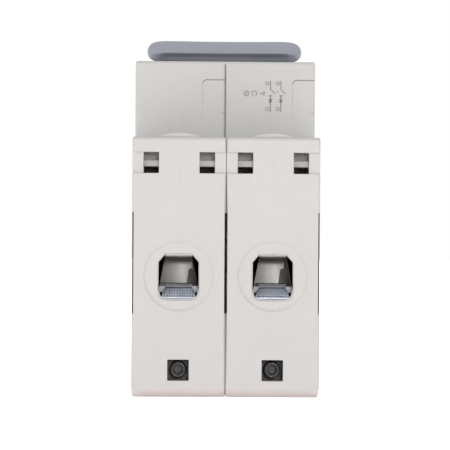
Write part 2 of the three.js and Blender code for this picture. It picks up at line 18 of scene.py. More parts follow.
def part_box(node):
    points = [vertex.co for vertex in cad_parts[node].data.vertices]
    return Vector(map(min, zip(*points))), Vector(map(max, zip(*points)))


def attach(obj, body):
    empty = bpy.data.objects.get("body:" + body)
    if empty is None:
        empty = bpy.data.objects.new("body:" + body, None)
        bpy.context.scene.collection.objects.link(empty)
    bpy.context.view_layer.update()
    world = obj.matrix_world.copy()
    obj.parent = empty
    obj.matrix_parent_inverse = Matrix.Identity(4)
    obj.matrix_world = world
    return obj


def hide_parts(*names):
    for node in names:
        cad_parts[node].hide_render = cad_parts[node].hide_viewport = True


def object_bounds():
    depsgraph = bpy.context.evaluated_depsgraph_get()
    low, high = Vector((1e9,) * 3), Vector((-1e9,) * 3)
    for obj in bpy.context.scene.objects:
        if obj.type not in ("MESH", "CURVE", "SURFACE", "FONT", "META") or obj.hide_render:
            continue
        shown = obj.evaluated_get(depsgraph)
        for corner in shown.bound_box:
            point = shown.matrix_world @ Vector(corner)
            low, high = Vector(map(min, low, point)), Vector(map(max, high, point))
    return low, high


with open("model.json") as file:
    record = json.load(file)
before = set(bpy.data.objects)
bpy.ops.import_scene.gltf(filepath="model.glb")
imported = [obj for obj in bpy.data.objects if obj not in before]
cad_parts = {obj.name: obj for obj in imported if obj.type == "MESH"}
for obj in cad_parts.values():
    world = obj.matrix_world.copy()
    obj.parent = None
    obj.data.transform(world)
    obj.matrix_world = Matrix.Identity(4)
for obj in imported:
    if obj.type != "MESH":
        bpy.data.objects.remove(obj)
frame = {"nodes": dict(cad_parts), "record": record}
cad_low, cad_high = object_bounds()
MM = 0.001
POLES = ("left", "right")
ENDS = ("line", "load")
print("box in mm:", [round(v / MM, 2) for v in (*cad_low, *cad_high)])

# %% [markdown]
# ## Camera
# The breaker is seen square on from its line end, from a little above the middle of that end and a hair to
# the left, with a long lens, so that its edges stay almost parallel.
# A real camera is described by where it stands, where it points and its focal length, so the same three
# things are set here. A small roll keeps the slight lean of a hand-placed object.

# %% Place the camera
EYE = Vector((-6.5, -421.5, 29.8)) * MM
YAW, PITCH, ROLL = (math.radians(a) for a in (0.948, 0.457, 0.364))
FOCAL_MM = 160.9
SENSOR_MM = 36.0


def aim(eye, yaw, pitch, roll):
    """Camera matrix that looks along +Y, then turned right, up, and rolled clockwise."""
    forward = Vector((math.sin(yaw) * math.cos(pitch), math.cos(yaw) * math.cos(pitch), math.sin(pitch)))
    right = Vector((math.cos(yaw), -math.sin(yaw), 0.0))
    up = right.cross(forward)
    rolled_right = math.cos(roll) * right + math.sin(roll) * up
    rolled_up = math.cos(roll) * up - math.sin(roll) * right
    columns = (rolled_right, rolled_up, -forward)
    return Matrix.Translation(eye) @ Matrix(columns).transposed().to_4x4()


camera = bpy.data.objects.new("camera", bpy.data.cameras.new("camera"))
bpy.context.scene.collection.objects.link(camera)
camera.matrix_world = aim(EYE, YAW, PITCH, ROLL)
camera.data.lens = FOCAL_MM
camera.data.sensor_width = SENSOR_MM
camera.data.clip_start, camera.data.clip_end = 0.01, 20.0
bpy.context.scene.camera = camera
print("camera distance from the near face, mm:", round((cad_low.y - EYE.y) / MM, 1))

# %% [markdown]
# ## Floor and light
# Product pictures are lit with a large soft source above and to one side, in a white room that fills the
# shadows. A white world gives the fill, and one big area light gives the direction. A small light beside the
# camera reaches into the wire entries, and the floor glows a little, like a light table.
# The plain view transform keeps white paper white.

# %% Light the room
bpy.context.scene.view_settings.view_transform = "Standard"
ROOM = (1.0, 1.0, 1.0)
ROOM_STRENGTH = 1.0

world = bpy.data.worlds.new("white_room")
bpy.context.scene.world = world
world.use_nodes = True
world.node_tree.nodes["Background"].inputs["Color"].default_value = (*ROOM, 1.0)
world.node_tree.nodes["Background"].inputs["Strength"].default_value = ROOM_STRENGTH


def softbox(name, where, target, side, watts):
    """Square area light at a point, turned to face another."""
    light = bpy.data.lights.new(name, "AREA")
    light.shape = "SQUARE"
    light.size = side
    light.energy = watts
    lamp = bpy.data.objects.new(name, light)
    bpy.context.scene.collection.objects.link(lamp)
    lamp.location = where
    lamp.rotation_euler = (Vector(target) - Vector(where)).to_track_quat("-Z", "Y").to_euler()
    return lamp


MIDDLE = (cad_low + cad_high) / 2
softbox("key_softbox", (-0.55, -0.75, 0.75), MIDDLE, 0.5, 4.0)
softbox("front_fill", (0.08, -0.9, 0.16), MIDDLE, 0.15, 2.6)

# %% Lay the floor
FLOOR_SIDE = 6.0


def linked(name, mesh):
    """New object in the scene for a mesh."""
    made = bpy.data.objects.new(name, mesh)
    bpy.context.scene.collection.objects.link(made)
    return made


def square_floor(name, side):
    """Flat square at z = 0, facing up."""
    half = side / 2
    mesh = bpy.data.meshes.new(name)
    mesh.from_pydata([(-half, -half, 0), (half, -half, 0), (half, half, 0), (-half, half, 0)], [],
                     [(0, 1, 2, 3)])
    return linked(name, mesh)


floor = square_floor("floor", FLOOR_SIDE)

# %% [markdown]
# ## Finishes
# Every finish is a small recipe of noise: one slow pattern varies the colour, one varies the gloss, and a
# fine one lifts the surface into a grain. The patterns read object coordinates, in metres, so the grain
# has the same size on every part.
# Even tones that never change are set straight on the shader.

# %% A recipe for moulded plastic and plated metal


def noise_node(tree, coordinates, grain_mm, detail=3.0, stretch=(1.0, 1.0, 1.0)):
    """Noise whose features are about grain_mm across, drawn out along the axes given in stretch."""
    mapping = tree.nodes.new("ShaderNodeMapping")
    mapping.inputs["Scale"].default_value = [1.0 / s for s in stretch]
    tree.links.new(coordinates, mapping.inputs["Vector"])
    noise = tree.nodes.new("ShaderNodeTexNoise")
    noise.inputs["Scale"].default_value = 1.0 / (grain_mm * MM)
    noise.inputs["Detail"].default_value = detail
    tree.links.new(mapping.outputs["Vector"], noise.inputs["Vector"])
    return noise.outputs["Fac"]


def ramp_node(tree, value, low, high):
    """Colour between two tones, by a noise value."""
    ramp = tree.nodes.new("ShaderNodeValToRGB")
    ramp.color_ramp.elements[0].position, ramp.color_ramp.elements[1].position = 0.3, 0.7
    ramp.color_ramp.elements[0].color = (*low, 1.0)
    ramp.color_ramp.elements[1].color = (*high, 1.0)
    tree.links.new(value, ramp.inputs["Fac"])
    return ramp.outputs["Color"]


def range_node(tree, value, low, high):
    """A noise value spread over a range of gloss."""
    spread = tree.nodes.new("ShaderNodeMapRange")
    spread.inputs["From Min"].default_value, spread.inputs["From Max"].default_value = 0.3, 0.7
    spread.inputs["To Min"].default_value, spread.inputs["To Max"].default_value = low, high
    tree.links.new(value, spread.inputs["Value"])
    return spread.outputs["Result"]


def finish(name, tone, drift=0.03, tone_mm=6.0, gloss=(0.45, 0.55), gloss_mm=2.0, metallic=0.0,
           grain_mm=0.2, lift_mm=0.004, stretch=(1.0, 1.0, 1.0), specular=0.5):
    """Material of one substance: tone and its drift, gloss range, and a fine lifted grain."""
    made = bpy.data.materials.new(name)
    made.use_nodes = True
    tree = made.node_tree
    shader = tree.nodes["Principled BSDF"]
    shader.inputs["Metallic"].default_value = metallic
    shader.inputs["Specular IOR Level"].default_value = specular
    place = tree.nodes.new("ShaderNodeTexCoord").outputs["Object"]
    low, high = ([min(1.0, c * (1.0 + s * drift)) for c in tone] for s in (-1, 1))
    tree.links.new(ramp_node(tree, noise_node(tree, place, tone_mm), low, high), shader.inputs["Base Color"])
    tree.links.new(range_node(tree, noise_node(tree, place, gloss_mm, stretch=stretch), *gloss),
                   shader.inputs["Roughness"])
    bump = tree.nodes.new("ShaderNodeBump")
    bump.inputs["Distance"].default_value = lift_mm * MM
    bump.inputs["Strength"].default_value = 1.0
    tree.links.new(noise_node(tree, place, grain_mm, 5.0, stretch), bump.inputs["Height"])
    tree.links.new(bump.outputs["Normal"], shader.inputs["Normal"])
    return made


# %% Mix the finishes
FINISHES = {
    "shell": finish("shell_plastic", (0.324, 0.32, 0.31), 0.012, 9.0, (0.5, 0.62), 1.5),
    "handle": finish("toggle_plastic", (0.18, 0.192, 0.222), 0.02, 7.0, (0.42, 0.52), 1.5, grain_mm=0.16),
    "black": finish("latch_plastic", (0.009, 0.009, 0.01), 0.1, 3.0, (0.38, 0.5), 0.8, grain_mm=0.14),
    "amber": finish("trip_plastic", (0.38, 0.2, 0.07), 0.06, 4.0, (0.45, 0.58), 1.0),
    "zinc": finish("blue_zinc", (0.5, 0.55, 0.62), 0.08, 1.6, (0.26, 0.42), 0.5, 1.0, 0.08, 0.002),
    "steel": finish("drawn_steel", (0.53, 0.54, 0.56), 0.07, 2.5, (0.24, 0.38), 0.4, 1.0, 0.06, 0.0015,
                    (1.0, 8.0, 1.0)),
    "copper": finish("bare_copper", (0.72, 0.34, 0.2), 0.1, 1.8, (0.24, 0.4), 0.5, 1.0, 0.07, 0.0015,
                     (1.0, 6.0, 1.0)),
    "nickel": finish("tinned_strip", (0.68, 0.65, 0.6), 0.06, 2.0, (0.2, 0.36), 0.4, 1.0, 0.06, 0.0015,
                     (1.0, 7.0, 1.0)),
    # The plate is the tinned strip at about six tenths of its tone: painted shade on the strip deep in the
    # wire entry.
    "plate": finish("tin_plate_painted_shade", (0.4, 0.385, 0.365), 0.05, 3.0, (0.4, 0.5), 1.2, 0.75, 0.5, 0.002,
                    (1.0, 1.0, 5.0)),
    # The lip's zinc is blue zinc darkened by about a third: painted shade of the wire entry that the lip sits
    # in.
    "lip": finish("lip_zinc_painted_shade", (0.33, 0.36, 0.41), 0.12, 2.0, (0.38, 0.5), 0.8, 1.0, 0.2, 0.002),
    "cage": finish("cage_zinc", (0.3, 0.31, 0.33), 0.1, 2.0, (0.5, 0.62), 0.8, 0.5, 0.2, 0.002),
    "rivet": finish("rolled_nickel", (0.4, 0.385, 0.36), 0.08, 1.5, (0.28, 0.4), 0.5, 1.0, 0.1),
    "hardened": finish("hardened_steel", (0.045, 0.045, 0.048), 0.15, 1.0, (0.3, 0.45), 0.5, 1.0, 0.06),
    "gloss_black": finish("gloss_black", (0.012, 0.012, 0.013), 0.1, 3.0, (0.2, 0.3), 0.8, lift_mm=0.001),
    # The grey ink also makes the dark film of painted shadow along the tongue joints.
    "ink": finish("grey_ink_and_painted_shadow", (0.13, 0.13, 0.13), 0.1, 0.6, (0.6, 0.75), 0.3, lift_mm=0.001),
}
paper = finish("light_table", (0.9, 0.9, 0.9), 0.004, 300.0, (0.9, 0.95), 50.0, grain_mm=0.5)
glow = paper.node_tree.nodes["Principled BSDF"]
glow.inputs["Emission Color"].default_value = (1.0, 0.865, 0.86, 1.0)
glow.inputs["Emission Strength"].default_value = 0.95
floor.data.materials.append(paper)
print(len(FINISHES), "finishes and the light table")

# %% [markdown]
# ## Dress the inner parts
# Springs, links and contacts already have the right shape, so each only takes the finish that its record
# names.

# %% Give every part the finish of its slot
SLOT_OF = {part["node"]: part["material_slot"] for part in frame["record"]["subparts"]}
for name, node in frame["nodes"].items():
    node.data.materials.clear()
    node.data.materials.append(FINISHES[SLOT_OF[name]])
BODY_OF = {name: body for body, names in frame["record"]["behaviour"]["bodies"].items() for name in names}
print(len(frame["nodes"]), "parts dressed")

# %% [markdown]
# ## Moulded shells
# A moulding has no sharp edge: the tool is polished to a small radius, and the light runs along it.
# Copies of the four half shells get a bevel modifier, and the width of its cut is painted on the edges as a
# weight. Outer edges get the full radius. Where two half shells meet the tool is sharp, so those edges get
# almost none, and the joint shows only as a hairline. Edges beside very short ones get less, so that no two
# cuts run into each other.

# %% Copy a part and merge its loose triangles


def copy_of(node, name):
    """Merged copy of a part's mesh, as a new object."""
    mesh = frame["nodes"][node].data.copy()
    mesh.name = name
    form = bmesh.new()
    form.from_mesh(mesh)
    bmesh.ops.remove_doubles(form, verts=form.verts, dist=1e-6)
    bmesh.ops.dissolve_limit(form, angle_limit=math.radians(0.5), verts=form.verts, edges=form.edges)
    form.to_mesh(mesh)
    form.free()
    if "custom_normal" in mesh.attributes:
        mesh.attributes.remove(mesh.attributes["custom_normal"])
    return linked(name, mesh)


def bridge(form, rings, closed=False):
    """Quads from each ring of vertices to the next, with a cap at both ends unless the rings close up."""
    count = len(rings[0])
    following = rings[1:] + rings[:1] if closed else rings[1:]
    for a, b in zip(rings, following):
        for k in range(count):
            form.faces.new((a[k], b[k], b[(k + 1) % count], a[(k + 1) % count]))
    if not closed:
        form.faces.new(rings[0])
        form.faces.new(rings[-1])


def settle(form, name, finish_name=None, sharp_degrees=None):
    """Keep a form as an object with its faces turned outward, smooth up to an angle if one is given."""
    bmesh.ops.recalc_face_normals(form, faces=form.faces)
    mesh = bpy.data.meshes.new(name)
    form.to_mesh(mesh)
    form.free()
    if finish_name:
        mesh.materials.append(FINISHES[finish_name])
    if sharp_degrees:
        mesh.shade_smooth()
        mesh.set_sharp_from_angle(angle=math.radians(sharp_degrees))
    return linked(name, mesh)


def add_detail(made, body):
    """A piece that stands for no part of its own rides on a body."""
    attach(made, body)


def adopt(made, node, finish_name=None):
    """The piece stands for a part: it rides on the same body and keeps the same slot."""
    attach(made, BODY_OF[node])
    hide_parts(node)
    made.data.materials.clear()
    made.data.materials.append(FINISHES[finish_name or SLOT_OF[node]])
    return made


# %% Round its edges by weight
SHARP = math.radians(30)
CREASE = math.radians(8)    # shallow corners at the shoulder are creased, not rounded
CRISP = 0.3                 # edges cut less than this share stay sharp to the light
ROOM_SHARE = 0.45           # a cut may take this much of the shortest edge beside it
NEAR = 0.03                 # two places closer than this are the same, mm


def round_edges(made, radius_mm, weight_at=None, segments=2, crease_height=None):
    """Live bevel, full on sharp edges, thinner where weight_at(middle) says and beside short edges."""
    mesh = made.data
    form = bmesh.new()
    form.from_mesh(mesh)
    marks = form.edges.layers.float.get("bevel_weight_edge") or form.edges.layers.float.new(
        "bevel_weight_edge")
    for edge in form.edges:
        turn = edge.calc_face_angle(0.0) if len(edge.link_faces) == 2 else 0.0
        level = crease_height and all(abs(v.co.z / MM - crease_height) < NEAR for v in edge.verts)
        if CREASE < turn < SHARP and level:
            edge.smooth = False
        if turn < SHARP:
            continue
        room = min(near.calc_length() for v in edge.verts for near in v.link_edges)
        share = min(1.0, ROOM_SHARE * room / (radius_mm * MM))
        middle = (edge.verts[0].co + edge.verts[1].co) / 2
        edge[marks] = share * (weight_at(middle) if weight_at else 1.0)
        edge.smooth = edge[marks] > CRISP
    form.to_mesh(mesh)
    form.free()
    bevel = made.modifiers.new("soft_edges", "BEVEL")
    bevel.width = radius_mm * MM
    bevel.segments = segments
    bevel.limit_method = "WEIGHT"
    bevel.use_clamp_overlap = False
    mesh.shade_smooth()
    even = made.modifiers.new("even_faces", "WEIGHTED_NORMAL")
    even.weight = 100
    even.keep_sharp = True
    return made


# %% Mark the joint between two half shells
SHELL_EDGE = 0.13           # radius of an outer edge, mm
JOINT_WEIGHT = 0.1          # hairline down the middle of a pole
TONGUE_WEIGHT = 1.0         # clearer line where the cover's tongue ends on the nose
TONGUE_WIDTH = 4.45         # pole centre to the tongue's edge
TONGUE_CORNER = 0.8
POLE_GAP = 0.3              # faces this close to the middle of the breaker meet the other pole
POLE_GAP_WEIGHT = 0.2       # thin line between the two poles
SHOULDER = 49.5             # back to the terminal shoulder, mm
NOSE = 22.5                 # middle to the nose's end faces, mm
STEP_HEIGHT = SHOULDER + 5  # where the joint leaves the middle of the nose
ROOT = {"reach": 1.0, "below": 0.2, "above": 1.2}           # corner between nose and shoulder


def pole_centre(pole):
    """Middle of a pole across the breaker, mm."""
    return (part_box(f"{pole}_base")[0].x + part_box(f"{pole}_cover")[1].x) / 2 / MM


def joint_weight(pole):
    """Weight of an edge at a point, in mm, by how close it is to the joint of that pole's shells."""
    centre = pole_centre(pole)
    cover_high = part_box(f"{pole}_cover")[1]
    tip, side = cover_high.z / MM, cover_high.x / MM

    def weight_at(point):
        x, z = point.x / MM - centre, point.z / MM
        if abs(x) < NEAR:
            return JOINT_WEIGHT
        if abs(point.x) < POLE_GAP * MM:
            return POLE_GAP_WEIGHT
        at_root = abs(abs(point.y) / MM - NOSE) < ROOT["reach"]
        if at_root and SHOULDER - ROOT["below"] < z < SHOULDER + ROOT["above"]:
            return 0.0
        if abs(z - tip) < NEAR and TONGUE_WIDTH <= x <= side - centre:
            return TONGUE_WEIGHT
        in_corner = TONGUE_WIDTH - NEAR < x < TONGUE_WIDTH + TONGUE_CORNER and z > tip - TONGUE_CORNER
        if in_corner and z < tip + NEAR:
            return TONGUE_WEIGHT
        if abs(x - TONGUE_WIDTH) < NEAR and z < tip:
            return JOINT_WEIGHT
        step = 0 <= x <= TONGUE_WIDTH and abs(z - STEP_HEIGHT) < NEAR
        return JOINT_WEIGHT if step else 1.0

    return weight_at


HOOD = {"front": 37.6, "brought_to": 39.9, "half": 6.5}     # raised hood over each screw well, mm


def bring_hoods_out(shell, pole):
    """Move the hoods' front arches out, nearly flush with the terminal faces."""
    centre = pole_centre(pole)
    for vertex in shell.data.vertices:
        out, x = abs(vertex.co.y) / MM, vertex.co.x / MM - centre
        if abs(out - HOOD["front"]) < NEAR and abs(x) < HOOD["half"] and vertex.co.z / MM > SHOULDER - NEAR:
            vertex.co.y = math.copysign(HOOD["brought_to"] * MM, vertex.co.y)
    return shell


for pole in POLES:
    for half in ("base", "cover"):
        node = f"{pole}_{half}"
        shell = bring_hoods_out(copy_of(node, f"{node}_moulding"), pole)
        round_edges(shell, SHELL_EDGE, joint_weight(pole), crease_height=SHOULDER)
        adopt(shell, node)
        print(shell.name, len(shell.data.polygons), "faces before the bevel")

# %% [markdown]
# ## Toggle bar
# One bar ties both toggles together. A finger pushes it from either side, so its front and back are scooped,
# and its ends are rounded off like a bar of soap.
# That shape follows a rule, so it is built as a grid: columns along the bar, rows round its height. Each
# row's half thickness fades to nothing at the rim on a rounded curve, which closes the bar by itself.

# %% Shape the toggle bar
LEAN = math.radians(30)
PIVOT_HEIGHT = 55.5
DRUM_EDGE = 0.15
BAR = {"half": 15.825, "low": 13.5, "high": 16.9, "thin": 2.7, "thick": 3.1, "corner": 12.0}
SCOOP = {"half": 14.2, "fade": 2.4, "depth": 0.95, "middle": 14.75, "reach": 2.0}
PLAN_POWER, SIDE_POWER, SIDE_FLAT = 2.2, 2.4, 5             # how square the bar's outlines are
SCOOP_FLOOR = 1.5           # thinner than this, the scoop gets shallower
DIP = 0.18                  # sag of the top edge between its ends
COLUMNS, ROWS = 96, 22


def bar_point(u, t, side):
    """Point on the front or back of the bar, mm: u and t run -1 to 1 along it and up it."""
    x = u * BAR["half"]
    rim = (1.0 - abs(u) ** BAR["corner"]) ** (1 / PLAN_POWER)
    middle = (BAR["low"] + BAR["high"]) / 2
    tall = (BAR["high"] - BAR["low"]) / 2
    height = middle + t * tall * rim
    height -= DIP * max(0.0, 1.0 - (x / SCOOP["half"]) ** 2) * max(0.0, t)
    thick = BAR["thin"] + (BAR["thick"] - BAR["thin"]) * (t + 1) / 2
    across = thick * rim * (1.0 - abs(t) ** SIDE_FLAT) ** (1 / SIDE_POWER)
    along = min(1.0, max(0.0, (SCOOP["half"] - abs(x)) / SCOOP["fade"]))
    along = along * along * (3 - 2 * along)
    hollow = max(0.0, 1.0 - ((height - SCOOP["middle"]) / SCOOP["reach"]) ** 2) ** 2
    across -= SCOOP["depth"] * along * hollow * min(1.0, across / SCOOP_FLOOR)
    return Vector((x, side * max(across, 0.0), height))


def lean_to_on(point):
    """From the toggle's own axes to the breaker's, in metres."""
    y = point.y * math.cos(LEAN) - point.z * math.sin(LEAN)
    z = point.y * math.sin(LEAN) + point.z * math.cos(LEAN)
    return Vector((point.x, y, z + PIVOT_HEIGHT)) * MM


def eased(step, steps):
    """From -1 to 1 in steps that crowd together at both ends."""
    return math.sin(math.pi / 2 * (2 * step / steps - 1))


def toggle_bar(name):
    """Closed soft bar from a front and a back grid that meet at the rim."""
    form = bmesh.new()
    for side in (-1, 1):
        grid = [[form.verts.new(lean_to_on(bar_point(eased(i, COLUMNS), eased(k, ROWS), side)))
                 for k in range(ROWS + 1)] for i in range(COLUMNS + 1)]
        for i in range(COLUMNS):
            for k in range(ROWS):
                corners = [grid[i][k], grid[i + 1][k], grid[i + 1][k + 1], grid[i][k + 1]]
                form.faces.new(corners if side < 0 else corners[::-1])
    bmesh.ops.remove_doubles(form, verts=form.verts, dist=2e-6)
    bmesh.ops.dissolve_degenerate(form, edges=form.edges, dist=1e-7)
    return settle(form, name, sharp_degrees=180)


bar = adopt(toggle_bar("toggle_bar"), "handle_cap")
print("toggle bar", len(bar.data.polygons), "faces")

# %% [markdown]
# ## Toggle drums
# Under the bar each pole has a drum that fills the slot at any angle. Its rim and stem only need softer
# edges.

# %% Soften the toggle drums
for pole in POLES:
    node = f"{pole}_toggle_lever"
    adopt(round_edges(copy_of(node, f"{pole}_toggle_drum"), DRUM_EDGE), node)

# %% [markdown]
# ## Terminal strips
# A flat tinned strip runs under each clamp screw. Behind the wire it is pressed down into a stop, so that a
# conductor can't be pushed too far in.
# Sheet metal bends on a radius and springs a little, so the stop is lofted column by column: a side profile
# with a round bend, set back on one side by a slight bow. The bow turns its face, which is what makes one
# side of the metal dark and the other bright.

# %% Loft a strip with its stop
STRIP_LOW, STRIP_HIGH = 26.6, 27.8
STRIP_HALF, STRIP_TIP = 3.4, 36.4
STRIP_NOSE = (STRIP_HIGH - STRIP_LOW) / 2                   # its front edge is rounded over
STOP_HALF = 4.4             # the stop is wider than the strip, towards the pole's outer side
STOP_NEAR, STOP_FAR = 28.1, 29.2
STOP_LOW, NOTCH_LOW = 21.6, 24.4
STOP_EDGE, EAR_EDGE = 1.9, 2.6
STOP_BACK = 27.35           # the bowed stop's back stays out of the wall behind it
BEND = 1.5                  # radius of the bend
BOW = 0.024                 # set-back per square of the distance from the stop's edge, per mm
ROUNDS = 6
SLIVER = 0.02               # width of a step between two outlines
WING_COLUMNS, STOP_COLUMNS = 4, 14


def strip_profile(inner, x):
    """Side outline of the strip at x, as (distance from the middle, height) in mm."""
    if x > EAR_EDGE:
        drop, bend = STRIP_LOW - SLIVER / 2, SLIVER / 2
    else:
        drop, bend = (STOP_LOW if x < STOP_EDGE else NOTCH_LOW), BEND
    back = BOW * (STOP_EDGE - x) ** 2 if x < STOP_EDGE else 0.0
    far, near = STOP_FAR - back, max(STOP_NEAR - back, STOP_BACK)
    tip = STRIP_TIP
    if x < -STRIP_HALF:
        inner, tip = near - SLIVER / 2, far + bend + STRIP_NOSE + SLIVER / 2
    arc = [(far + bend - bend * math.cos(a), STRIP_LOW - bend + bend * math.sin(a))
           for a in (math.pi / 2 * k / ROUNDS for k in range(ROUNDS + 1))]
    outline = [(inner, STRIP_LOW), (near, STRIP_LOW), (near, drop), (far, drop)]
    if x > EAR_EDGE:
        arc = [(far + SLIVER / 2, STRIP_LOW)] * (ROUNDS + 1)
    nose = [(tip - STRIP_NOSE + STRIP_NOSE * math.sin(a), STRIP_LOW + STRIP_NOSE - STRIP_NOSE * math.cos(a))
            for a in (math.pi * k / ROUNDS for k in range(ROUNDS + 1))]
    return outline + arc + nose + [(inner, STRIP_HIGH)]


def terminal_strip(name, centre, end, inner):
    """Closed strip, lofted across its width."""
    columns = np.linspace(-STOP_HALF, -STRIP_HALF - SLIVER, WING_COLUMNS).tolist()
    columns += np.linspace(-STRIP_HALF, STOP_EDGE, STOP_COLUMNS).tolist()
    columns += [STOP_EDGE + SLIVER, EAR_EDGE, EAR_EDGE + SLIVER, STRIP_HALF]
    form = bmesh.new()
    rings = [[form.verts.new(Vector((centre + x, end * y, z)) * MM) for y, z in strip_profile(inner, x)]
             for x in columns]
    bridge(form, rings)
    bmesh.ops.remove_doubles(form, verts=form.verts, dist=1e-7)
    bmesh.ops.dissolve_degenerate(form, edges=form.edges, dist=1e-7)
    return settle(form, name, sharp_degrees=40)


for pole in POLES:
    inner = -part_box(f"{pole}_line_strip")[1].y / MM
    strip = terminal_strip(f"{pole}_line_tongue", pole_centre(pole), -1, inner)
    # The strip takes the darker tin, painted shade of the entry, not the plain tinned finish.
    adopt(strip, f"{pole}_line_strip", "plate")
    print(strip.name, "from", round(inner, 2), "mm to", STRIP_TIP, "mm")

# %% [markdown]
# ## Clamp cages
# A box clamp is folded from zinc-plated steel. Its floor rises under the wire as the screw turns, and its lip
# guides the wire in. The lip flares towards its lower edge and is knurled, and a dark hardened pad with
# ribs across it grips the strands.
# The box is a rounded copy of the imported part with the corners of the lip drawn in. The knurl is a grid of
# small pyramids, a job for Geometry Nodes: one pyramid, placed by rule.

# %% Helpers for rules made of nodes


def rule(name, **inputs):
    """Empty geometry tree with named inputs (socket type, default) and one geometry output."""
    tree = bpy.data.node_groups.new(name, "GeometryNodeTree")
    tree.interface.new_socket("Geometry", in_out="OUTPUT", socket_type="NodeSocketGeometry")
    for label, (kind, value) in inputs.items():
        socket = tree.interface.new_socket(label, in_out="INPUT", socket_type=kind)
        if value is not None:
            socket.default_value = value
    return tree, tree.nodes.new("NodeGroupInput").outputs, tree.nodes.new("NodeGroupOutput").inputs


def wired(tree, kind, settings=None, **sources):
    """New node with fixed inputs from settings and the rest linked; an underscore stands for a space."""
    made = tree.nodes.new(kind)
    for label, value in (settings or {}).items():
        made.inputs[label].default_value = value
    for label, source in sources.items():
        tree.links.new(source, made.inputs[label.replace("_", " ")])
    return made


def finished(tree, given, geometry, result):
    """End a tree as the export needs: real copies, shaded, with the material set."""
    real = wired(tree, "GeometryNodeRealizeInstances", Geometry=geometry)
    paint = wired(tree, "GeometryNodeSetMaterial", Geometry=real.outputs["Geometry"],
                  Material=given["Material"])
    tree.links.new(paint.outputs["Geometry"], result["Geometry"])


def grow(name, tree, points=(), **values):
    """Run a tree with these inputs, on these points, and keep its result as a plain mesh object."""
    holder = linked(f"{name}_holder", bpy.data.meshes.new(f"{name}_holder"))
    holder.data.from_pydata(points, [], [])
    growth = holder.modifiers.new("rule", "NODES")
    growth.node_group = tree
    for item in tree.interface.items_tree:
        if item.in_out == "INPUT" and item.name in values:
            growth[item.identifier] = values[item.name]
    ready = holder.evaluated_get(bpy.context.evaluated_depsgraph_get())
    mesh = bpy.data.meshes.new_from_object(ready)
    bpy.data.objects.remove(holder)
    return linked(name, mesh)


# %% A rule for a knurled face
FLOAT, INT, MATERIAL = "NodeSocketFloat", "NodeSocketInt", "NodeSocketMaterial"


def knurl_rule():
    """Grid of four-sided pyramids, points up, in the plane z = 0."""
    tree, given, result = rule("knurl", Columns=(INT, 12), Rows=(INT, 3), Width=(FLOAT, 0.006),
                               Height=(FLOAT, 0.001), Tooth=(FLOAT, 0.0003), Material=(MATERIAL, None))
    grid = wired(tree, "GeometryNodeMeshGrid", Size_X=given["Width"], Size_Y=given["Height"],
                 Vertices_X=given["Columns"], Vertices_Y=given["Rows"])
    tooth = wired(tree, "GeometryNodeMeshCone", {"Vertices": 4, "Radius Top": 0.0},
                  Radius_Bottom=given["Tooth"], Depth=given["Tooth"])
    tooth.fill_type = "NGON"
    place = wired(tree, "GeometryNodeInstanceOnPoints", Points=grid.outputs["Mesh"],
                  Instance=tooth.outputs["Mesh"])
    finished(tree, given, place.outputs["Instances"], result)
    return tree


KNURL_RULE = knurl_rule()

# %% Dress the cages, each with a flared lip
LIP_BACK = 37.3
LIP_ROWS = ((20.95, 37.55, 2.5), (20.7, 37.8, 2.62), (19.7, 38.55, 3.2), (19.1, 38.88, 3.3),
            (18.75, 38.9, 3.15))    # height, front, half width, mm
LIP_EDGE, CAGE_EDGE = 0.12, 0.16
KNURL = {"Columns": 12, "Rows": 3, "Width": 5.2 * MM, "Height": 1.0 * MM, "Tooth": 0.24 * MM}
KNURL_AT = (38.5, 19.72)    # distance from the middle, height, mm
KNURL_TILT = 37             # the lip's face leans back by this, degrees
TUCK = {"across": 0.6, "back": 0.99, "up": 0.1}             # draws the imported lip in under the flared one
TUCK_FROM, TUCK_HALF = LIP_BACK + 0.15, 3.3


def flared_lip(name, centre, end):
    """Lip whose rows widen towards its lower edge."""
    form = bmesh.new()
    rows = [[form.verts.new(Vector((centre + x, end * y, z)) * MM)
             for x, y in ((-half, LIP_BACK), (half, LIP_BACK), (half, front), (-half, front))]
            for z, front, half in LIP_ROWS]
    bridge(form, rows)
    return round_edges(settle(form, name, "lip"), LIP_EDGE, segments=3)


def clamp_cage(pole, end_name, centre):
    """Rounded copy of a cage with its plain lip drawn in."""
    node = f"{pole}_{end_name}_cage"
    cage = copy_of(node, f"{pole}_{end_name}_clamp")
    for vertex in cage.data.vertices:
        x = vertex.co.x / MM - centre
        in_front = abs(vertex.co.y) / MM > TUCK_FROM and vertex.co.z / MM < LIP_ROWS[0][0]
        if in_front and abs(x) < TUCK_HALF:
            vertex.co.x = (centre + x * TUCK["across"]) * MM
            vertex.co.y *= TUCK["back"]
            vertex.co.z += TUCK["up"] * MM
    return adopt(round_edges(cage, CAGE_EDGE, segments=3), node, "cage")


for pole in POLES:
    for end_name, end in zip(ENDS, (-1, 1)):
        centre = pole_centre(pole)
        clamp_cage(pole, end_name, centre)
        # The lip and its knurl take the darker zinc, which paints the entry's shade.
        lip = flared_lip(f"{pole}_{end_name}_lip", centre, end)
        field = grow(f"{pole}_{end_name}_knurl", KNURL_RULE, **KNURL, Material=FINISHES["lip"])
        turn = Matrix.Rotation(math.radians((90 - KNURL_TILT) * -end), 4, "X")
        place = Vector((centre, end * KNURL_AT[0], KNURL_AT[1])) * MM
        field.data.transform(Matrix.Translation(place) @ turn)
        for made in (lip, field):
            add_detail(made, f"{pole}_{end_name}_cage_body")
print("clamps with", len(field.data.polygons), "knurl faces each")

# %% Lay a ribbed pad in each clamp
PAD = {"half": 2.6, "near": 30.4, "far": 37.45, "low": 20.98, "high": 21.65, "ribs": 9, "wave": 0.12}


